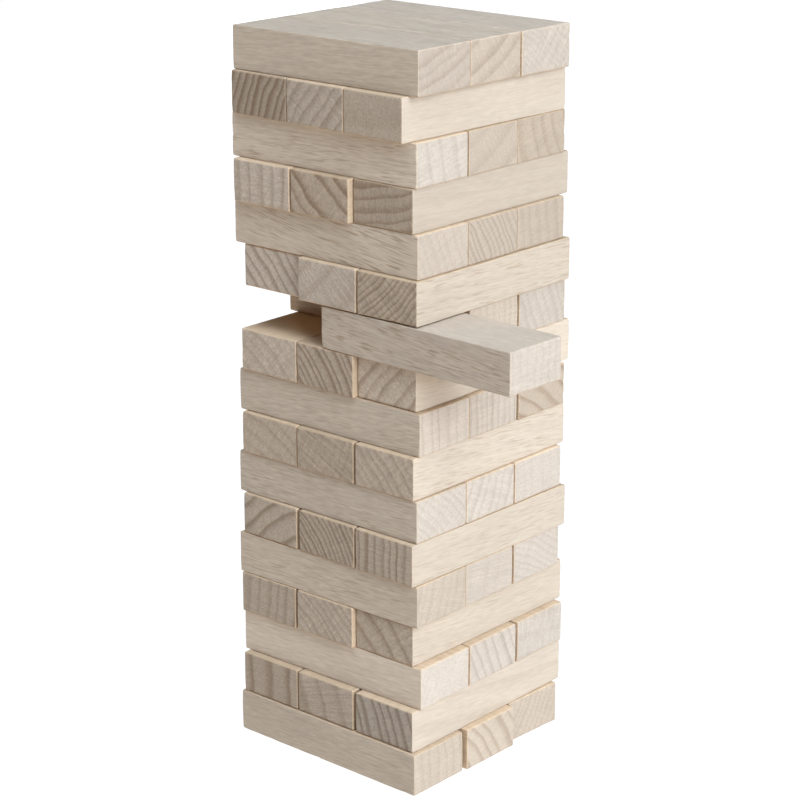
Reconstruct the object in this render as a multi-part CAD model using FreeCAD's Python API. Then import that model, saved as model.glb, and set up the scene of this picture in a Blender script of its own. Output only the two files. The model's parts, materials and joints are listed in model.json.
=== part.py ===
import FreeCAD, Part
import math
import os

# A tumbling tower: seventeen layers of three plain beech blocks, each layer lying
# across the one below it, with one block drawn part of the way out of its layer.
# Millimetres, +Z up. The origin is in the lowest face, on the middle of the stack.
# Odd layers, counted from the bottom, have their blocks along X. Even layers have
# their blocks along Y.

BLOCK_LENGTH = 120.0
BLOCK_WIDTH = 37.5
BLOCK_HEIGHT = 21.8
SEAM = 0.1              # air between one layer and the next
EASED_EDGE = 1.0        # the sanded corner on every edge of a block
LAYER_PITCH = BLOCK_HEIGHT + SEAM

# How each layer was laid, from the bottom up: its turn in degrees, its shift along X
# and along Y, and the gap on each side of its middle block.
LAYERS = [
    (-0.4, 3.0, -5.0, 2.5, 1.0),
    (0.1, 2.0, -2.0, 1.0, 2.0),
    (0.6, 0.8, 0.2, 1.2, 1.7),
    (0.0, -1.0, 0.0, 1.5, 0.4),
    (0.4, 0.0, -2.0, 0.3, 1.5),
    (-0.9, 2.1, -0.3, 2.0, 1.2),
    (-0.2, -0.4, -1.0, 0.4, 1.0),
    (0.2, 0.4, 0.5, 1.0, 1.4),
    (0.2, -0.8, 1.0, 0.3, 1.8),
    (-0.3, -0.3, 1.8, 0.6, 0.4),
    (0.3, -2.0, 1.9, 0.5, 1.4),
    (0.3, 1.4, 0.9, 2.0, 1.2),
    (0.1, -2.2, 0.5, 0.4, 0.4),
    (0.0, -1.9, 0.1, 1.2, 0.4),
    (0.1, -3.3, 1.1, 1.0, 0.3),
    (-1.7, -1.8, -0.5, 0.6, 0.4),
    (-0.3, -0.5, -0.6, 0.3, 0.4),
]

# A block comes out most easily where it is a little thinner than its neighbours.
DRAWN_BLOCK_HEIGHT = 21.3

PLACES_ALONG_X = ("front", "middle", "back")
PLACES_ALONG_Y = ("left", "middle", "right")

# The blocks that don't lie as the rest of their layer does: how far each is moved
# along its own length, how far across it, and its own turn in degrees.
DRAWN_BLOCK = "layer_11_front_block"
ODD_BLOCKS = {
    DRAWN_BLOCK: (59.7, -4.4, -1.7),
    "layer_01_middle_block": (1.0, 0.0, 0.0),
    "layer_01_back_block": (-2.2, 2.7, -2.5),
    "layer_04_right_block": (2.6, 0.0, 0.0),
    "layer_08_left_block": (0.6, 0.0, 0.0),
    "layer_10_right_block": (3.3, 0.0, 0.0),
    "layer_12_left_block": (3.5, 0.0, 0.0),
    "layer_14_right_block": (3.3, 0.0, 0.0),
    "layer_17_back_block": (0.7, 0.0, 0.0),
}


def runs_along_x(layer):
    return layer % 2 == 1


def places(layer):
    return PLACES_ALONG_X if runs_along_x(layer) else PLACES_ALONG_Y


def block_name(layer, place):
    return "layer_%02d_%s_block" % (layer, place)


def plain_block(height):
    """One block along X, centred on the origin, standing on Z = 0."""
    corner = FreeCAD.Vector(-BLOCK_LENGTH / 2, -BLOCK_WIDTH / 2, 0)
    block = Part.makeBox(BLOCK_LENGTH, BLOCK_WIDTH, height, corner)
    return block.makeChamfer(EASED_EDGE, block.Edges)


def place_across(layer, index):
    """The distance of a block's centre line from the middle of its layer."""
    first_gap, second_gap = LAYERS[layer - 1][3:]
    whole_width = 3 * BLOCK_WIDTH + first_gap + second_gap
    edges = (
        -whole_width / 2,
        -whole_width / 2 + BLOCK_WIDTH + first_gap,
        whole_width / 2 - BLOCK_WIDTH,
    )
    return edges[index] + BLOCK_WIDTH / 2


def block_pose(layer, index):
    """A block's centre in plan, and the direction of its length in degrees from X."""
    turn, shift_x, shift_y = LAYERS[layer - 1][:3]
    name = block_name(layer, places(layer)[index])
    along, across, own_turn = ODD_BLOCKS.get(name, (0.0, 0.0, 0.0))
    across += place_across(layer, index)
    if runs_along_x(layer):
        x, y, heading = along, across, 0.0
    else:
        x, y, heading = across, along, 90.0
    angle = math.radians(turn)
    centre_x = shift_x + x * math.cos(angle) - y * math.sin(angle)
    centre_y = shift_y + x * math.sin(angle) + y * math.cos(angle)
    return centre_x, centre_y, heading + turn + own_turn


def block_shape(layer, index):
    """A block as it lies in the tower."""
    centre_x, centre_y, heading = block_pose(layer, index)
    drawn = block_name(layer, places(layer)[index]) == DRAWN_BLOCK
    block = plain_block(DRAWN_BLOCK_HEIGHT if drawn else BLOCK_HEIGHT)
    block.rotate(FreeCAD.Vector(0, 0, 0), FreeCAD.Vector(0, 0, 1), heading)
    block.translate(FreeCAD.Vector(centre_x, centre_y, (layer - 1) * LAYER_PITCH))
    return block


os.makedirs("parts", exist_ok=True)
for layer in range(1, len(LAYERS) + 1):
    for index, place in enumerate(places(layer)):
        name = block_name(layer, place)
        block_shape(layer, index).exportStep("parts/" + name + ".step")
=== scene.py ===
import bpy
import json
import math
import random
import numpy as np
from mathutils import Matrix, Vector, noise


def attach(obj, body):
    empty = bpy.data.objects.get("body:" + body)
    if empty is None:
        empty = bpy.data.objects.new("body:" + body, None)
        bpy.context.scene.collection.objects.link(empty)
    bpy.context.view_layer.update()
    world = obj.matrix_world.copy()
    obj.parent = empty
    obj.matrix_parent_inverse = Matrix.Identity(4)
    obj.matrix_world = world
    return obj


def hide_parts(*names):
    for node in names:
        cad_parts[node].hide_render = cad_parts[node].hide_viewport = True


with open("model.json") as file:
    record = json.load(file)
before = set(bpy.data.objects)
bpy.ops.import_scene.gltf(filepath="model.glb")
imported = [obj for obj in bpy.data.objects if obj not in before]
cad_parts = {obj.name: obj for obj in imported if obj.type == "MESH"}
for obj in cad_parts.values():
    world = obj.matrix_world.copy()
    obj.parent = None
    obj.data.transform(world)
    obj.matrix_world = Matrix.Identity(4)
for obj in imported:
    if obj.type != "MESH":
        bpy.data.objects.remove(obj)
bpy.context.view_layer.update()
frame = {"nodes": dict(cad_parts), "record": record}

MM = 0.001

# The camera, as the tower is seen: from its front right corner, a little from above.
CAMERA_PLACE = (0.760, -0.880, 0.550)
CAMERA_AZIMUTH = 40.88
CAMERA_ELEVATION = 16.27
CAMERA_LENS = 107.2
CAMERA_SHIFT = -0.075

# The pale room round the tower and the point in the tower that the lamps face, in metres.
ROOM_RADIUS = 9.0
FLOOR_LEVEL = -0.1 * MM
LAMP_TARGET = (0.0, 0.0, 0.19)

HALF_LENGTH = 60.0        # half a block's length
TREE_STRETCH = 400.0      # the stretch of the tree that the blocks are cut from at random
GRAIN_TURN = 2            # how far the grain turns out of line in plan at most, in degrees

# The grid that a block's surface is made of, in millimetres.
STEP_ALONG = 2.4
STEP_ACROSS = 1.6
EDGE_LINES = (0.0, 0.18, 0.4, 0.75, 1.4)

# The sanded edges, in millimetres.
EDGE_RADIUS = 0.4
LEAST_RADIUS = 0.22
MOST_RADIUS = 3.0
END_EDGE_EXTRA = (0.8, 0.35)     # how much rounder the ends' level edges are, in even and odd layers
END_EDGE_REACH = 2.2
UPRIGHT_EDGE_SHARE = 0.75        # how much of that is lost beside an upright edge
EDGE_UNEVENNESS = 0.14
EDGE_WAVE = 6.0
CORNER_WEAR = 0.3
CORNER_REACH = 2.5
CHIP_DEPTH = 0.8
CHIPS_PER_BLOCK = 5
CHIP_REACH = (1.0, 3.0)

# The colours of bare beech, linear.
BEECH = (0.445, 0.338, 0.240)
BROWN_RING = (0.64, 0.54, 0.45)      # what the dark line of a brown block's ring multiplies it by
GREY_RING = (0.68, 0.65, 0.61)       # and of a grey block's
FLECK = (0.65, 0.56, 0.46)           # what a ray fleck multiplies a long side by
END_GRAIN = (0.82, 0.81, 0.81)       # what being end grain does to an end
SANDED_EDGE_AND_HIGHLIGHT = (1.0, 0.94, 0.85)      # what sanding does to an edge, with a painted golden highlight on it: it turns a rounded edge golden
PAINTED_INNER_LIGHT = (1.10, 1.00, 0.86)      # painted light: a warm tint on the faces inside the stack, for the light that bounces between the blocks

WARM_TINT = (1.03, 0.99, 0.93)        # the two ends of the scale that a block's warmth goes along
COOL_TINT = (0.97, 1.0, 1.055)

# How many features of the wood there are to a millimetre: away from the pith, to the side of
# that, and along the grain.
RING_DRIFT = (0.06, 0.06, 0.012)      # the slow wandering of the rings
RAY_SHEETS = (1.15, 0.05, 0.22)       # around the pith, outwards from it, and along
RAY_DASHES = (1.75, 1.75, 0.1)
DASH_PATCHES = (0.12, 0.12, 0.03)
STREAKS = (0.9, 0.9, 0.045)
FIBRES = (1.1, 1.1, 0.16)
CLOUDS = (0.09, 0.09, 0.02)
PORES = (0.85, 0.85, 0.85)

# How far each of them swings the wood's lightness.
STREAK_SWING = 0.4
FIBRE_SWING = 0.28
CLOUD_SWING = 0.11
PORE_SWING = 0.7
RAY_SWING = -0.6

# The growth rings. Parts of a year run from 0 to 1.
RING_WANDER = 4.0                     # in millimetres
YEAR_UNEVENNESS = 1.1                 # in years
YEAR_CHANGE = 0.6                     # how fast that changes from one year to the next
LINE_START = 0.75                     # where a ring's dark line starts, less its band
LINE_END = 0.84                       # where it is darkest, after which the next spring's wood is light
FAINTEST_LINE = 0.42
LINE_VARIETY = 0.5
LATE_WOOD_SHADE = 0.4

# The dark dashes on a long side and the patches that they come in: the noise values where
# each starts and is full, and how much of the dashes shows outside the patches.
DASH_RAMP = (0.57, 0.66)
PATCH_RAMP = (0.3, 0.62)
OUTSIDE_PATCHES = 0.3

# How much of a block's warmth and of its rings shows on a side, and how much more on an end.
WARMTH_SHARES = (0.15, 0.35)
RING_SHARES = (0.15, 0.85)
END_GRAIN_RAMP = (0.35, 0.95)         # how squarely a point must face along the block to be end grain
EDGE_GAIN = 2.2                       # how soon a rounded edge takes the colour of sanded wood and of its painted golden highlight

# The relief in the surface: its depth in millimetres, how strongly it shows, and what each
# part of the figure adds to it. Then how rough the surface is.
RELIEF_DEPTH = 0.12
RELIEF_STRENGTH = 0.5
STREAK_RELIEF = 0.6
PORE_RELIEF = 0.5
RING_RELIEF = -0.4
FLECK_RELIEF = -0.3
ROUGHNESS = 0.5
ROUGHNESS_SWING = 0.2

# The figure that each block's seen end shows. A row is one layer, from the top down, and its
# three entries are the blocks from left to right as seen. Each entry has:
#   lean      the direction of the growth rings on the end, in degrees from level, so that
#             45 rises to the right and 135 falls to the right
#   pith      how far off the heart of the tree is, in millimetres; below zero it is on
#             the other side, so the rings curve the other way
#   ring      the width of a year's ring in millimetres
#   dark      how dark the rings' lines are
#   band      how much of a ring its dark line takes up
#   rays      how plain the rays across the rings are
#   tone      how light the block is
#   warmth    how brown it is, or how grey below zero
FIGURES = {
    17: ((20, 120, 6.5, 0.5, 0.4, 0.4, 0.90, 0.0), (32, 140, 9.0, 0.6, 0.4, 0.4, 0.93, 0.4),
         (143, 160, 3.0, 0.3, 0.4, 0.5, 1.02, -0.6)),
    16: ((68, -110, 4.5, 1.0, 0.5, 0.4, 0.77, 1.0), (53, -160, 6.0, 0.6, 0.4, 0.5, 1.02, -0.3),
         (4, 120, 12.0, 0.15, 0.5, 0.3, 0.97, 0.5)),
    15: ((102, 220, 10.0, 0.5, 0.15, 0.5, 1.10, -0.8), (32, 70, 14.0, 0.3, 0.3, 0.4, 0.92, 0.5),
         (107, -70, 8.5, 0.45, 0.3, 0.5, 0.87, 1.0)),
    14: ((90, 300, 7.5, 0.6, 0.3, 0.5, 1.17, -0.5), (138, -150, 9.0, 0.8, 0.3, 0.6, 0.93, 1.0),
         (11, 160, 6.0, 0.65, 0.4, 0.6, 0.84, 1.0)),
    13: ((116, 150, 5.0, 0.25, 0.4, 0.3, 1.01, -0.1), (118, 110, 3.3, 0.75, 0.5, 0.5, 0.92, 0.3),
         (97, 150, 6.5, 0.35, 0.4, 0.4, 0.89, 0.6)),
    12: ((130, 140, 5.5, 1.0, 0.3, 0.5, 1.20, -0.6), (45, 120, 13.0, 0.3, 0.2, 1.1, 1.08, -0.4),
         (45, 150, 3.0, 0.7, 0.5, 1.2, 0.88, 0.9)),
    # The middle block here, 11B, has a darker, warmer tone: painted shade on its end beside the drawn
    # block.
    11: ((90, 200, 5.0, 0.25, 0.3, 0.35, 1.10, -0.8), (90, 180, 4.5, 0.3, 0.4, 0.4, 1.05, 0.4),
         (113, 150, 5.5, 0.4, 0.4, 0.4, 1.05, -0.7)),
    10: ((140, 120, 6.5, 0.3, 0.4, 0.7, 1.16, -0.2), (125, 60, 4.2, 0.9, 0.5, 0.5, 0.94, 0.6),
         (50, -130, 7.5, 0.6, 0.3, 0.6, 1.22, 0.0)),
    # The first block here, 9A, has its tone raised: painted light that takes out the drawn block's
    # shadow on its end. The lower tone of its long side in LONG_SIDES keeps the side's colour.
    9: ((92, 240, 6.4, 0.5, 0.3, 0.4, 1.24, -0.6), (90, 260, 4.5, 0.65, 0.35, 0.5, 1.08, -0.5),
        (145, 120, 10.0, 1.0, 0.25, 0.4, 0.94, 0.9)),
    8: ((153, 100, 8.0, 0.35, 0.3, 0.5, 1.02, 0.6), (65, 140, 5.0, 0.2, 0.4, 1.5, 0.86, 1.1),
        (131, 150, 5.0, 0.45, 0.4, 0.7, 1.04, 0.3)),
    7: ((136, 160, 4.0, 0.35, 0.4, 0.35, 1.18, -0.9), (67, 160, 6.0, 0.5, 0.3, 0.45, 1.21, -1.2),
        (93, 220, 7.0, 0.15, 0.5, 0.3, 1.19, -1.1)),
    6: ((38, -70, 9.5, 0.8, 0.25, 0.5, 0.98, 0.2), (125, 60, 3.0, 0.9, 0.5, 0.6, 0.90, 0.6),
        (90, 300, 5.0, 0.8, 0.4, 0.6, 0.97, 0.3)),
    5: ((73, 120, 6.0, 0.3, 0.4, 0.4, 1.05, 0.1), (80, 160, 12.0, 0.15, 0.3, 0.5, 1.12, -0.6),
        (151, 180, 3.5, 0.4, 0.4, 0.4, 1.18, -1.2)),
    4: ((87, 260, 6.5, 0.55, 0.35, 0.5, 0.96, 0.4), (137, 200, 4.0, 0.5, 0.4, 0.7, 1.04, 0.2),
        (131, 90, 11.0, 0.6, 0.25, 0.9, 0.99, 0.5)),
    3: ((155, 200, 5.0, 0.1, 0.4, 0.3, 1.29, -1.2), (115, 140, 6.0, 0.8, 0.3, 0.4, 1.20, -1.3),
        (173, 200, 10.0, 0.35, 0.3, 0.5, 1.15, -1.2)),
    2: ((90, 300, 13.0, 0.8, 0.3, 0.6, 0.90, 0.6), (107, 160, 14.0, 0.5, 0.2, 1.0, 0.95, 0.3),
        (108, 180, 5.5, 1.1, 0.35, 0.5, 0.88, -0.3)),
    1: ((95, 240, 6.0, 0.35, 0.3, 0.3, 1.08, 0.1), (122, 60, 7.0, 0.8, 0.3, 0.4, 1.15, 0.3),
        (62, 80, 4.0, 0.4, 0.4, 0.25, 1.08, 0.3)),
}

# The long side that is seen in each layer: how far its grain runs out of line in degrees,
# how plain its ray flecks are, and how light it is beside the block's end.
LONG_SIDES = {
    17: (3, 0.5, 1.08), 16: (0, 0.3, 0.94), 15: (1, 0.65, 1.05), 14: (-2, 0.5, 0.98),
    13: (-8, 1.1, 1.04),
    12: (-3, 1.0, 1.04), 11: (-4, 0.8, 0.84), 10: (-6, 0.6, 0.90), 9: (4, 0.5, 0.80), 8: (-6, 0.8, 0.99),
    7: (1, 1.0, 0.82), 6: (-3, 0.35, 0.99), 5: (2, 0.65, 0.96), 4: (-5, 0.5, 1.02), 3: (2, 0.8, 0.94),
    2: (-4, 0.15, 1.18), 1: (3, 0.35, 0.89),
}
MIDDLE_TOP = (0, 0.5, 1.09)       # the middle block of the top layer, whose top is seen
UNSEEN_SIDE = (0, 0.5, 1.0)

# How deep the grain's light and dark goes on the long sides and on the ends, in the even
# layers and in the odd ones. It is less on whichever of them the strong light falls on.
GRAIN_DEPTHS = ((0.72, 1.35), (1.3, 0.75))
TOP_GRAIN_DEPTH = 1.9             # on the top layer's middle and back blocks, seen from above
PLACES = {"front": 0, "middle": 1, "back": 2, "left": 0, "right": 2}
TOP_LAYER = 17
DRAWN_BLOCK = (11, 0)             # the layer of the block that is drawn out, and its place there


class Graph:
    """A node tree with short calls for the nodes used here."""

    def __init__(self, name):
        self.material = bpy.data.materials.new(name)
        self.material.use_nodes = True
        self.tree = self.material.node_tree
        self.tree.nodes.clear()

    def feed(self, socket, value):
        if isinstance(value, bpy.types.NodeSocket):
            self.tree.links.new(value, socket)
        else:
            socket.default_value = value

    def node(self, kind, inputs, **settings):
        made = self.tree.nodes.new(kind)
        for name, value in settings.items():
            setattr(made, name, value)
        for name, value in inputs.items():
            self.feed(made.inputs[name], value)
        return made

    def calc(self, operation, *values):
        made = self.node("ShaderNodeMath", {}, operation=operation)
        for socket, value in zip(made.inputs, values):
            self.feed(socket, value)
        return made.outputs[0]

    def ramp(self, value, low, high):
        """0 at low, 1 at high, smooth between."""
        inputs = {"Value": value, "From Min": low, "From Max": high}
        made = self.node("ShaderNodeMapRange", inputs, interpolation_type="SMOOTHSTEP")
        return made.outputs["Result"]

    def vector(self, x, y, z):
        return self.node("ShaderNodeCombineXYZ", {"X": x, "Y": y, "Z": z}).outputs[0]

    def grain(self, vector, detail=0.0, roughness=0.5):
        """Soft noise, about 0.5, with features one unit across."""
        inputs = {"Vector": vector, "Scale": 1.0, "Detail": detail, "Roughness": roughness}
        return self.node("ShaderNodeTexNoise", inputs).outputs["Fac"]

    def stretched(self, place, scales):
        """The place with each of its parts scaled on its own."""
        return self.vector(*(self.calc("MULTIPLY", part, scale) for part, scale in zip(place, scales)))

    def swing(self, value, amount):
        """A noise value about 0.5 turned into a factor about 1."""
        return self.calc("MULTIPLY_ADD", self.calc("SUBTRACT", value, 0.5), amount, 1.0)

    def of_block(self, name):
        """A number that each block has of its own."""
        made = self.node("ShaderNodeAttribute", {}, attribute_type="OBJECT", attribute_name=name)
        return made.outputs["Fac"]

    def of_surface(self, name):
        """Something that each point of the surface has of its own."""
        return self.node("ShaderNodeAttribute", {}, attribute_name=name)

    def tint(self, colour, factor, tint):
        """The colour multiplied by the tint, as far as the factor says."""
        made = self.node("ShaderNodeMix", {}, data_type="RGBA", blend_type="MULTIPLY")
        self.feed(made.inputs[0], factor)
        self.feed(made.inputs[6], colour)
        self.feed(made.inputs[7], tint if isinstance(tint, bpy.types.NodeSocket) else (*tint, 1.0))
        return made.outputs[2]

    def scaled(self, colour, factor):
        """The colour multiplied by one number."""
        made = self.node("ShaderNodeVectorMath", {}, operation="SCALE")
        self.feed(made.inputs[0], colour)
        self.feed(made.inputs["Scale"], factor)
        return made.outputs[0]


def growth_rings(graph, away, side, along):
    """How far a point is from the pith, and how dark its ring is there."""
    squares = graph.calc("ADD", graph.calc("MULTIPLY", away, away), graph.calc("MULTIPLY", side, side))
    distance = graph.calc("SQRT", squares)
    place = graph.stretched((away, side, along), RING_DRIFT)
    wandering = graph.calc("MULTIPLY_ADD", graph.grain(place, 1.0), RING_WANDER, distance)
    years = graph.calc("DIVIDE", wandering, graph.of_block("ring"))
    uneven = graph.grain(graph.vector(graph.calc("MULTIPLY", years, YEAR_CHANGE), 0.0, 0.0))
    years = graph.calc("MULTIPLY_ADD", uneven, YEAR_UNEVENNESS, years)
    through_year = graph.calc("FRACT", years)
    start = graph.calc("SUBTRACT", LINE_START, graph.of_block("band"))
    before_spring = graph.calc("SUBTRACT", 1.0, graph.ramp(through_year, LINE_END, 1.0))
    line = graph.calc("MULTIPLY", graph.ramp(through_year, start, LINE_END), before_spring)
    year = graph.calc("FLOOR", years)
    strength = graph.node("ShaderNodeTexWhiteNoise", {"W": year}, noise_dimensions="1D").outputs["Value"]
    strength = graph.calc("MULTIPLY_ADD", strength, LINE_VARIETY, FAINTEST_LINE)
    line = graph.calc("MULTIPLY", line, strength)
    shade = graph.calc("MULTIPLY", graph.calc("MULTIPLY", through_year, through_year), LATE_WOOD_SHADE)
    shade = graph.calc("MULTIPLY", shade, before_spring)
    return distance, graph.calc("MULTIPLY", graph.calc("ADD", line, shade), graph.of_block("dark"))


def wood_rays(graph, away, side, along, distance):
    """The rays: thin sheets from the pith outwards, which cut an end as fine lines across the rings."""
    turned = graph.calc("ARCTAN2", side, away)
    arc = graph.calc("MULTIPLY", turned, graph.of_block("pith"))
    return graph.grain(graph.stretched((arc, distance, along), RAY_SHEETS), 1.0, 0.4)


def side_flecks(graph, place):
    """The same rays on a long side: short dark dashes along the grain."""
    dashes = graph.ramp(graph.grain(graph.stretched(place, RAY_DASHES), 0.3), *DASH_RAMP)
    patches = graph.ramp(graph.grain(graph.stretched(place, DASH_PATCHES), 1.0), *PATCH_RAMP)
    patches = graph.calc("MULTIPLY_ADD", patches, 1.0 - OUTSIDE_PATCHES, OUTSIDE_PATCHES)
    return graph.calc("MULTIPLY", dashes, patches)


def blend(graph, factor, first, second):
    """One colour turned into another, as far as the factor says."""
    made = graph.node("ShaderNodeMix", {}, data_type="RGBA", blend_type="MIX")
    graph.feed(made.inputs[0], factor)
    graph.feed(made.inputs[6], (*first, 1.0))
    graph.feed(made.inputs[7], (*second, 1.0))
    return made.outputs[2]


def wood_figure(graph):
    """What there is to see in the wood, each as a number at every point."""
    wood = graph.of_surface("wood").outputs["Vector"]
    place = away, side, along = graph.node("ShaderNodeSeparateXYZ", {"Vector": wood}).outputs
    on_end = graph.ramp(graph.of_surface("end_grain").outputs["Fac"], *END_GRAIN_RAMP)
    on_side = graph.calc("SUBTRACT", 1.0, on_end)
    distance, ring = growth_rings(graph, away, side, along)
    flecks = graph.calc("MULTIPLY", side_flecks(graph, place), on_side)
    return {
        "on_end": on_end,
        "on_side": on_side,
        "ring": ring,
        "rays": wood_rays(graph, away, side, along, distance),
        "flecks": graph.calc("MULTIPLY", flecks, graph.of_surface("across_rays").outputs["Fac"]),
        "streaks": graph.grain(graph.stretched(place, STREAKS), 3.0, 0.65),
        "fibres": graph.grain(graph.stretched(place, FIBRES), 1.0),
        "clouds": graph.grain(graph.stretched(place, CLOUDS), 1.0),
        "pores": graph.grain(graph.stretched(place, PORES), 2.0, 0.75),
    }


def share(graph, on_end, shares):
    """The first amount everywhere, and the second on top of it on an end."""
    return graph.calc("MULTIPLY_ADD", on_end, shares[1], shares[0])


def plain_colour(graph, figure, warmth):
    """The block's colour before its figure is put in."""
    light = graph.calc("SUBTRACT", graph.of_block("side_tone"), 1.0)
    light = graph.calc("MULTIPLY_ADD", figure["on_side"], light, 1.0)
    colour = graph.scaled(BEECH, graph.calc("MULTIPLY", graph.of_block("tone"), light))
    colour = graph.tint(colour, 1.0, blend(graph, warmth, COOL_TINT, WARM_TINT))
    return graph.tint(colour, figure["on_end"], END_GRAIN)


def figured_colour(graph, figure):
    """The block's colour with everything in it: grain, rings, flecks, rays, the painted warm light on
    its inner faces, and sanded edges with a painted golden highlight.
    """
    on_end, on_side = figure["on_end"], figure["on_side"]
    warmth = graph.calc("MULTIPLY", graph.of_block("warmth"), share(graph, on_end, WARMTH_SHARES))
    warmth = graph.calc("ADD", warmth, 0.5)
    colour = plain_colour(graph, figure, warmth)
    side_depth = graph.calc("MULTIPLY", on_side, graph.of_block("side_depth"))
    end_depth = graph.calc("MULTIPLY", on_end, graph.of_block("end_depth"))
    rays_shown = graph.calc("MULTIPLY", on_end, graph.of_block("rays"))
    swings = (
        ("clouds", 1.0, CLOUD_SWING),
        ("streaks", side_depth, STREAK_SWING),
        ("fibres", side_depth, FIBRE_SWING),
        ("pores", end_depth, PORE_SWING),
        ("rays", rays_shown, RAY_SWING),
    )
    for name, depth, swing in swings:
        amount = graph.calc("MULTIPLY", depth, swing)
        colour = graph.scaled(colour, graph.swing(figure[name], amount))
    ring_share = graph.calc("MULTIPLY", figure["ring"], share(graph, end_depth, RING_SHARES))
    colour = graph.tint(colour, ring_share, blend(graph, warmth, GREY_RING, BROWN_RING))
    fleck_share = graph.calc("MULTIPLY", figure["flecks"], graph.of_block("flecks"))
    colour = graph.tint(colour, fleck_share, FLECK)
    # Painted warm light on the faces that face other blocks, for the light that bounces between them.
    colour = graph.tint(colour, graph.of_surface("inner").outputs["Fac"], PAINTED_INNER_LIGHT)
    # Sanded wood on the rounded edges, with a painted golden highlight.
    return graph.tint(colour, graph.of_surface("edge").outputs["Fac"], SANDED_EDGE_AND_HIGHLIGHT)


def surface_relief(graph, figure):
    """The shallow relief that the grain leaves in sanded wood."""
    streak_relief = graph.calc("MULTIPLY", figure["on_side"], STREAK_RELIEF)
    height = graph.calc("MULTIPLY", figure["streaks"], streak_relief)
    height = graph.calc("MULTIPLY_ADD", figure["pores"], PORE_RELIEF, height)
    height = graph.calc("MULTIPLY_ADD", figure["ring"], RING_RELIEF, height)
    height = graph.calc("MULTIPLY_ADD", figure["flecks"], FLECK_RELIEF, height)
    bump = graph.node("ShaderNodeBump", {
        "Strength": RELIEF_STRENGTH, "Distance": RELIEF_DEPTH * MM, "Height": height,
    })
    return bump.outputs[0]


def beech_material():
    """Solid beech: the figure runs through the block, so ends and sides agree."""
    graph = Graph("beech")
    figure = wood_figure(graph)
    shader = graph.node("ShaderNodeBsdfPrincipled", {
        "Base Color": figured_colour(graph, figure),
        "Roughness": graph.calc("MULTIPLY_ADD", figure["streaks"], ROUGHNESS_SWING, ROUGHNESS),
        "Normal": surface_relief(graph, figure),
    })
    graph.node("ShaderNodeOutputMaterial", {"Surface": shader.outputs[0]})
    return graph.material


def block_pose(node):
    """A block's middle, the direction of its length, and its length, width and height in mm."""
    points = np.array([vertex.co[:] for vertex in frame["nodes"][node].data.vertices]) / MM
    middle = (points.min(axis=0) + points.max(axis=0)) / 2
    x, y, z = (points - middle).T
    heading = 0.5 * math.atan2(2 * (x * y).sum(), (x * x - y * y).sum())
    if heading < -math.pi / 4:
        heading += math.pi
    along = x * math.cos(heading) + y * math.sin(heading)
    across = y * math.cos(heading) - x * math.sin(heading)
    size = np.array([np.ptp(along), np.ptp(across), np.ptp(z)])
    return middle, heading, size


def grid_lines(length, step):
    """Places along one side of a block, close together at both ends."""
    near = np.array(EDGE_LINES)
    half = length / 2
    count = round((length - 2 * near[-1]) / step) + 1
    middle = np.linspace(near[-1] - half, half - near[-1], count)
    return np.concatenate([near[:-1] - half, middle, (half - near[:-1])[::-1]])


def box_lattice(counts):
    """The lattice points on the surface of a box, and the quads between them."""
    places = {}
    quads = []

    def place(point):
        return places.setdefault(point, len(places))

    for axis in range(3):
        second, third = (axis + 1) % 3, (axis + 2) % 3
        for level in (0, counts[axis] - 1):
            for j in range(counts[second] - 1):
                for k in range(counts[third] - 1):
                    ring = []
                    for step_j, step_k in ((0, 0), (1, 0), (1, 1), (0, 1)):
                        point = [0, 0, 0]
                        point[axis] = level
                        point[second] = j + step_j
                        point[third] = k + step_k
                        ring.append(place(tuple(point)))
                    quads.append(ring if level else ring[::-1])
    return np.array(list(places)), quads


def noise_at(points, wave, seed):
    """Smooth noise about zero at each point."""
    shift = Vector((seed * 7.3, seed * 3.1, seed * 5.7))
    return np.array([noise.noise(Vector(point) / wave + shift) for point in points])


def edge_radii(points, half, layer, seed):
    """The rounding of the edges beside each point, which differs from place to place."""
    radii = EDGE_RADIUS + EDGE_UNEVENNESS * noise_at(points, EDGE_WAVE, seed)
    radii += EDGE_UNEVENNESS * noise_at(points, EDGE_WAVE / 3, seed + 0.5)
    inside = half - np.abs(points)
    from_end_edge = np.hypot(inside[:, 0], inside[:, 2])
    from_upright_edge = 1 - UPRIGHT_EDGE_SHARE * np.exp(-(inside[:, 1] / END_EDGE_REACH) ** 2)
    extra = END_EDGE_EXTRA[layer % 2] * from_upright_edge
    radii += extra * np.exp(-(from_end_edge / END_EDGE_REACH) ** 2)
    from_corner = np.linalg.norm(inside, axis=1)
    draw = random.Random(seed)
    wear = CORNER_WEAR * draw.random()
    radii += wear * np.exp(-(from_corner / CORNER_REACH) ** 2)
    for _ in range(CHIPS_PER_BLOCK):
        chip = np.array([draw.uniform(-side, side) for side in half])
        flat = draw.randrange(3)
        for axis in range(3):
            if axis != flat:
                chip[axis] = math.copysign(half[axis], chip[axis])
        reach = draw.uniform(*CHIP_REACH)
        depth = CHIP_DEPTH * draw.random()
        radii += depth * np.exp(-(np.linalg.norm(points - chip, axis=1) / reach) ** 2)
    return np.clip(radii, LEAST_RADIUS, MOST_RADIUS)


def rounded(points, half, radii):
    """The points of a box moved in so that its edges are rounded, and the way each one faces."""
    limit = half - radii[:, None]
    core = np.clip(points, -limit, limit)
    outward = points - core
    outward /= np.linalg.norm(outward, axis=1)[:, None]
    return core + outward * radii[:, None], outward


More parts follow.
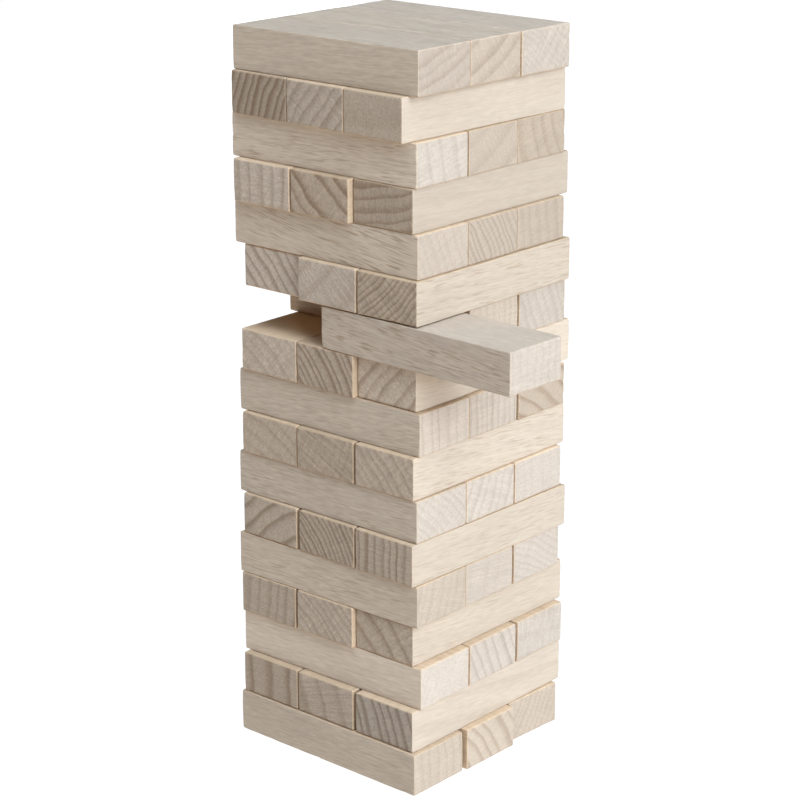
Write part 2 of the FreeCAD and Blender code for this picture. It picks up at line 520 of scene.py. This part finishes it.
def inner_share(outward, layer, place):
    """How far each point faces other blocks, which is where the painted warm light goes: not on the
    ends, the outer sides or an open top.
    """
    outer_side = {0: -1, 1: 0, 2: 1}[place] * (1 if layer % 2 else -1)
    side = np.where(np.sign(outward[:, 1]) == outer_side, 0, outward[:, 1] ** 2)
    open_above = layer == TOP_LAYER or (layer, place) == DRAWN_BLOCK
    flat = np.where((outward[:, 2] > 0) & open_above, 0, outward[:, 2] ** 2)
    return side + flat


def away_direction(lean, pith):
    """The way outwards from the pith on a block's seen end, as an angle from its right."""
    return math.radians(lean + 90) if pith < 0 else math.radians(lean - 90)


def across_rays(outward, layer, figure):
    """How squarely each point of the surface cuts the rays, which run outwards from the pith."""
    direction = away_direction(*figure[:2])
    right = outward[:, 1] if layer % 2 else -outward[:, 1]
    return (right * math.cos(direction) + outward[:, 2] * math.sin(direction)) ** 2


def wood_places(local, layer, figure, slope, seed):
    """Where each point of a block lies in its tree: away from the pith, to the side, and along."""
    lean, pith = figure[:2]
    draw = random.Random(seed)
    rise = math.tan(math.radians(slope))
    if layer % 2:
        right, inward = local[:, 1], HALF_LENGTH - local[:, 0]
        up = local[:, 2] + inward * rise
    else:
        right, inward = -local[:, 1], HALF_LENGTH + local[:, 0]
        up = local[:, 2] - inward * rise
    right = right + inward * math.tan(math.radians(draw.uniform(-GRAIN_TURN, GRAIN_TURN)))
    outward = away_direction(lean, pith)
    away = right * math.cos(outward) + up * math.sin(outward) + abs(pith)
    side = up * math.cos(outward) - right * math.sin(outward)
    return np.stack([away, side, inward + TREE_STRETCH * draw.random()], axis=1)


def long_side(layer, place):
    """The look of a block's long side, which is seen on the front and the right blocks, and of
    its top where that is seen."""
    if (layer, place) == (TOP_LAYER, 1):
        return MIDDLE_TOP
    return LONG_SIDES[layer] if place == (0 if layer % 2 else 2) else UNSEEN_SIDE


def block_mesh(name, layer, place, seed):
    """A worn block in the tower's frame, with its place in the tree on every point."""
    middle, heading, size = block_pose(name)
    half = size / 2
    lines = [grid_lines(size[0], STEP_ALONG), grid_lines(size[1], STEP_ACROSS),
             grid_lines(size[2], STEP_ACROSS)]
    lattice, quads = box_lattice([len(line) for line in lines])
    points = np.stack([line[lattice[:, axis]] for axis, line in enumerate(lines)], axis=1)
    local, outward = rounded(points, half, edge_radii(points, half, layer, seed))
    turn = np.array([[math.cos(heading), math.sin(heading), 0],
                     [-math.sin(heading), math.cos(heading), 0], [0, 0, 1]])
    placed = (local @ turn + middle) * MM
    mesh = bpy.data.meshes.new(name + "_wood")
    mesh.from_pydata(placed.tolist(), [], quads)
    mesh.polygons.foreach_set("use_smooth", [True] * len(mesh.polygons))
    wood = wood_places(local, layer, FIGURES[layer][place], long_side(layer, place)[0], seed)
    mesh.attributes.new("wood", "FLOAT_VECTOR", "POINT").data.foreach_set("vector", wood.ravel())
    facing = outward ** 2
    edge = np.clip(EDGE_GAIN * (1 - facing.max(axis=1)), 0, 1)
    mesh.attributes.new("end_grain", "FLOAT", "POINT").data.foreach_set("value", facing[:, 0])
    mesh.attributes.new("edge", "FLOAT", "POINT").data.foreach_set("value", edge)
    inner = inner_share(outward, layer, place)
    mesh.attributes.new("inner", "FLOAT", "POINT").data.foreach_set("value", inner)
    cut = across_rays(outward, layer, FIGURES[layer][place])
    mesh.attributes.new("across_rays", "FLOAT", "POINT").data.foreach_set("value", cut)
    return mesh


def add_block(node, body, material, seed):
    """One finished block, which stands for its CAD node and moves with its body."""
    words = node.split("_")
    layer, place = int(words[1]), PLACES[words[2]]
    mesh = block_mesh(node, layer, place, seed)
    mesh.materials.append(material)
    block = bpy.data.objects.new(node + "_wood", mesh)
    bpy.context.scene.collection.objects.link(block)
    labels = ("pith", "ring", "dark", "band", "rays", "tone", "warmth")
    for label, value in zip(labels, FIGURES[layer][place][1:]):
        block[label] = abs(float(value)) if label == "pith" else float(value)
    block["flecks"], block["side_tone"] = (float(value) for value in long_side(layer, place)[1:])
    block["side_depth"], block["end_depth"] = GRAIN_DEPTHS[layer % 2]
    if layer == TOP_LAYER and place > 0:
        block["side_depth"] = TOP_GRAIN_DEPTH
    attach(block, body)
    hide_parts(node)


def add_blocks():
    """All the blocks, which share one material."""
    material = beech_material()
    bodies = frame["record"]["behaviour"]["bodies"]
    nodes = {node: body for body, members in bodies.items() for node in members}
    for seed, node in enumerate(sorted(nodes), start=1):
        add_block(node, nodes[node], material, seed)


def pale_material():
    """A surface that is partly its own light, so that it stays nearly white."""
    graph = Graph("pale_room")
    shader = graph.node("ShaderNodeBsdfPrincipled", {
        "Base Color": (0.08, 0.08, 0.08, 1.0), "Roughness": 0.9, "Specular IOR Level": 0.1,
        "Emission Color": (1.0, 0.995, 0.985, 1.0), "Emission Strength": 0.98,
    })
    graph.node("ShaderNodeOutputMaterial", {"Surface": shader.outputs[0]})
    return graph.material


def add_room():
    """A pale floor, and a pale dome over it that is seen in level views but lights nothing."""
    material = pale_material()
    bpy.ops.mesh.primitive_circle_add(vertices=96, radius=ROOM_RADIUS, fill_type="NGON",
                                      location=(0.0, 0.0, FLOOR_LEVEL))
    floor = bpy.context.object
    floor.name = "floor"
    bpy.ops.mesh.primitive_uv_sphere_add(segments=96, ring_count=48, radius=ROOM_RADIUS)
    dome = bpy.context.object
    dome.name = "dome"
    dome.visible_diffuse = False
    dome.visible_glossy = False
    dome.visible_shadow = False
    for piece in (floor, dome):
        piece.data.materials.append(material)


def add_light(name, place, size, power, colour):
    """A round lamp that points at the tower."""
    light = bpy.data.lights.new(name, "AREA")
    light.shape = "DISK"
    light.size = size
    light.energy = power
    light.color = colour
    lamp = bpy.data.objects.new(name, light)
    bpy.context.scene.collection.objects.link(lamp)
    lamp.location = place
    lamp.rotation_euler = (Vector(LAMP_TARGET) - Vector(place)).to_track_quat("-Z", "Y").to_euler()
    lamp.visible_camera = False
    return lamp


def add_lights():
    """Soft studio light: a large lamp on the right, weaker ones, and a faint glow all around."""
    world = bpy.data.worlds.new("pale_room")
    world.use_nodes = True
    background = world.node_tree.nodes["Background"]
    background.inputs["Color"].default_value = (1.0, 0.97, 0.92, 1.0)
    background.inputs["Strength"].default_value = 0.07
    bpy.context.scene.world = world
    add_light("key", (2.23, -0.33, 1.15), 2.2, 141.0, (0.67, 0.815, 1.0))
    add_light("upper", (0.3, -0.55, 2.65), 1.6, 73.0, (0.635, 0.778, 0.98))
    add_light("front", (1.1, -1.5, 2.4), 1.6, 12.0, (0.61, 0.785, 1.0))
    back = add_light("back", (-2.0, 1.7, 0.25), 0.8, 40.0, (0.70, 0.83, 1.0))
    back.visible_glossy = False


def add_camera():
    """The view of the tower that the photograph has."""
    camera = bpy.data.cameras.new("camera")
    camera.lens = CAMERA_LENS
    camera.shift_y = CAMERA_SHIFT
    camera.clip_start = 0.05
    camera.clip_end = 50.0
    holder = bpy.data.objects.new("camera", camera)
    holder.location = CAMERA_PLACE
    holder.rotation_euler = (math.radians(90 - CAMERA_ELEVATION), 0.0, math.radians(CAMERA_AZIMUTH))
    bpy.context.scene.collection.objects.link(holder)
    bpy.context.scene.camera = holder
    bpy.context.scene.view_settings.view_transform = "Standard"


add_blocks()
add_room()
add_lights()
add_camera()
